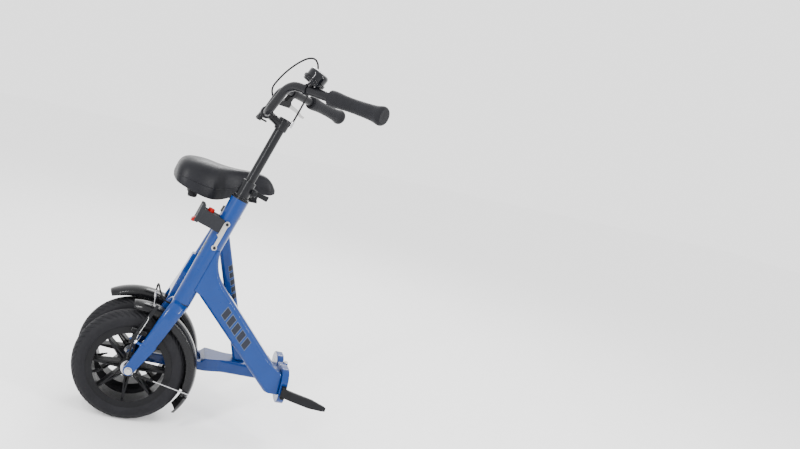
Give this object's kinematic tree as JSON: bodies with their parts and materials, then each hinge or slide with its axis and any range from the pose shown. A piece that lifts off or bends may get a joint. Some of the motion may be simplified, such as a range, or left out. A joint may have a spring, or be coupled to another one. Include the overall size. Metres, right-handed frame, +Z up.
{
  "type": "folding bicycle",
  "caption": "Pedal-less walking bicycle with small wheels, folded at a frame hinge so that both wheels stand side by side, with a raised handlebar, saddle and front luggage adapter",
  "frame": {"origin": "on the ground under the middle of the folded bicycle's box", "axes": "+Z up; +X from the front wheel back to the hinge; +Y from the front half to the folded rear half"},
  "size_m": [0.6974, 0.6294, 1.0694],
  "materials": {
    "frame_blue": "gloss blue paint",
    "black_metal": "satin black coating",
    "steel": "zinc plated steel",
    "silver_alloy": "polished alloy",
    "adapter_grey": "moulded dark grey",
    "red_plastic": "moulded red",
    "black_plastic": "moulded black",
    "rubber_black": "soft black rubber",
    "tyre_rubber": "tyre rubber with fine tread",
    "saddle_cover": "black vinyl cover"
  },
  "bodies": {
    "front_frame": {"head_tube": "frame_blue", "down_tube": "frame_blue", "front_hinge_plate": "frame_blue", "hinge_pin": "steel", "latch_mount": "steel", "headset": "black_metal", "carrier_adapter": "adapter_grey", "carrier_plates": "steel"},
    "rear_frame": {"rear_hinge_plate": "frame_blue", "seat_tube": "frame_blue", "rear_mast": "frame_blue", "chain_stay": "frame_blue", "seat_stays": "frame_blue", "seat_clamp": "black_metal", "rear_mudguard": "black_plastic", "rear_axle": "steel"},
    "fork": {"fork": "frame_blue", "steerer_tube": "steel", "fork_brake_cable": "rubber_black", "front_mudguard": "black_plastic", "front_mudflap": "rubber_black", "front_mudguard_stays": "steel", "front_axle": "steel", "post_clamp": "black_metal"},
    "handlebar": {"handlebar_post": "black_metal", "stem_clamp": "black_metal", "stem_bolts": "steel", "handlebar": "black_metal", "grips": "rubber_black", "bell_base": "black_plastic", "bell_dome": "black_plastic", "brake_bracket": "black_metal", "cable_ends": "steel", "brake_cable": "rubber_black"},
    "brake_lever": {"brake_lever": "silver_alloy"},
    "bell_ring": {"bell_ring": "black_plastic"},
    "brake_left": {"brake_arm_left": "black_metal", "brake_pad_left": "rubber_black"},
    "brake_right": {"brake_arm_right": "black_metal", "brake_pad_right": "rubber_black", "brake_noodle": "steel"},
    "seat": {"seat_post": "black_metal", "saddle_rails_and_clamp": "black_metal", "saddle_base": "black_plastic", "saddle": "saddle_cover", "saddle_bumpers": "rubber_black"},
    "front_wheel": {"front_tyre": "tyre_rubber", "front_inner_tube": "rubber_black", "front_rim": "black_plastic", "front_hub": "steel"},
    "rear_wheel": {"rear_tyre": "tyre_rubber", "rear_inner_tube": "rubber_black", "rear_rim": "black_plastic", "rear_hub": "steel"},
    "latch_lever": {"latch_lever": "black_metal"},
    "post_clamp_lever": {"post_clamp_lever": "black_metal"},
    "seat_clamp_lever": {"seat_clamp_lever": "black_metal"},
    "carrier_button": {"carrier_button": "red_plastic"},
    "carrier_catch": {"carrier_catch": "red_plastic"}
  },
  "joints": [
    {"name": "frame_fold", "type": "hinge", "parent": "front_frame", "child": "rear_frame", "pos_m": [0.25, 0.072, 0.17775], "axis": [0, 0, -1], "range_deg": [0, 180]},
    {"name": "steering", "type": "hinge", "parent": "front_frame", "child": "fork", "pos_m": [-0.03105, 0.013, 0.54127], "axis": [0.2924, 0, 0.9563], "range_deg": [-8, 8]},
    {"name": "handlebar_height", "type": "slide", "parent": "fork", "child": "handlebar", "axis": [0.2924, 0, 0.9563], "range_m": [-0.06, 0.09]},
    {"name": "seat_height", "type": "slide", "parent": "rear_frame", "child": "seat", "axis": [0.342, 0, 0.9397], "range_m": [0, 0.06]},
    {"name": "front_wheel_spin", "type": "hinge", "parent": "fork", "child": "front_wheel", "pos_m": [-0.19, 0.013, 0.15875], "axis": [0, 1, 0], "continuous": true},
    {"name": "rear_wheel_spin", "type": "hinge", "parent": "rear_frame", "child": "rear_wheel", "pos_m": [-0.19, 0.131, 0.15875], "axis": [0, 1, 0], "continuous": true},
    {"name": "brake_lever_pull", "type": "hinge", "parent": "handlebar", "child": "brake_lever", "pos_m": [0.0998, 0.16802, 0.93771], "axis": [0.5278, -0.7476, -0.4031], "range_deg": [0, 18], "stiffness_Nm_per_rad": 0.6},
    {"name": "brake_arm_left_close", "type": "hinge", "parent": "fork", "child": "brake_left", "pos_m": [-0.19339, -0.0295, 0.24699], "axis": [-0.913, 0, 0.408], "range_deg": [0, 3.6], "stiffness_Nm_per_rad": 0.6},
    {"name": "brake_arm_right_close", "type": "hinge", "parent": "fork", "child": "brake_right", "pos_m": [-0.19339, 0.0555, 0.24699], "axis": [0.913, 0, -0.408], "range_deg": [0, 3.6], "stiffness_Nm_per_rad": 0.6},
    {"name": "bell_ring_turn", "type": "hinge", "parent": "handlebar", "child": "bell_ring", "pos_m": [0.09564, -0.13746, 0.99382], "axis": [0.4047, -0.2128, 0.8894], "range_deg": [0, 30], "stiffness_Nm_per_rad": 0.3},
    {"name": "latch_swing", "type": "hinge", "parent": "front_frame", "child": "latch_lever", "pos_m": [0.24, -0.0285, 0.17175], "axis": [0, 0, 1], "range_deg": [-60, 29]},
    {"name": "post_clamp_cam", "type": "hinge", "parent": "fork", "child": "post_clamp_lever", "pos_m": [0.04043, 0.0318, 0.693], "axis": [0.2924, 0, 0.9563], "range_deg": [0, 90]},
    {"name": "seat_clamp_cam", "type": "hinge", "parent": "rear_frame", "child": "seat_clamp_lever", "pos_m": [0.0248, 0.1132, 0.60203], "axis": [-0.8491, 0, 0.5283], "range_deg": [0, 90]},
    {"name": "carrier_button_press", "type": "slide", "parent": "front_frame", "child": "carrier_button", "axis": [-0.2924, 0, -0.9563], "range_m": [0, 0.003], "stiffness_N_per_m": 300},
    {"name": "carrier_catch_release", "type": "slide", "parent": "front_frame", "child": "carrier_catch", "axis": [-0.2924, 0, -0.9563], "range_m": [0, 0.003], "stiffness_N_per_m": 300}
  ],
  "couplings": [
    {"joint": "brake_arm_left_close", "follows": "brake_lever_pull", "ratio": 0.2},
    {"joint": "brake_arm_right_close", "follows": "brake_lever_pull", "ratio": 0.2},
    {"joint": "carrier_catch_release", "follows": "carrier_button_press", "ratio": 1}
  ]
}
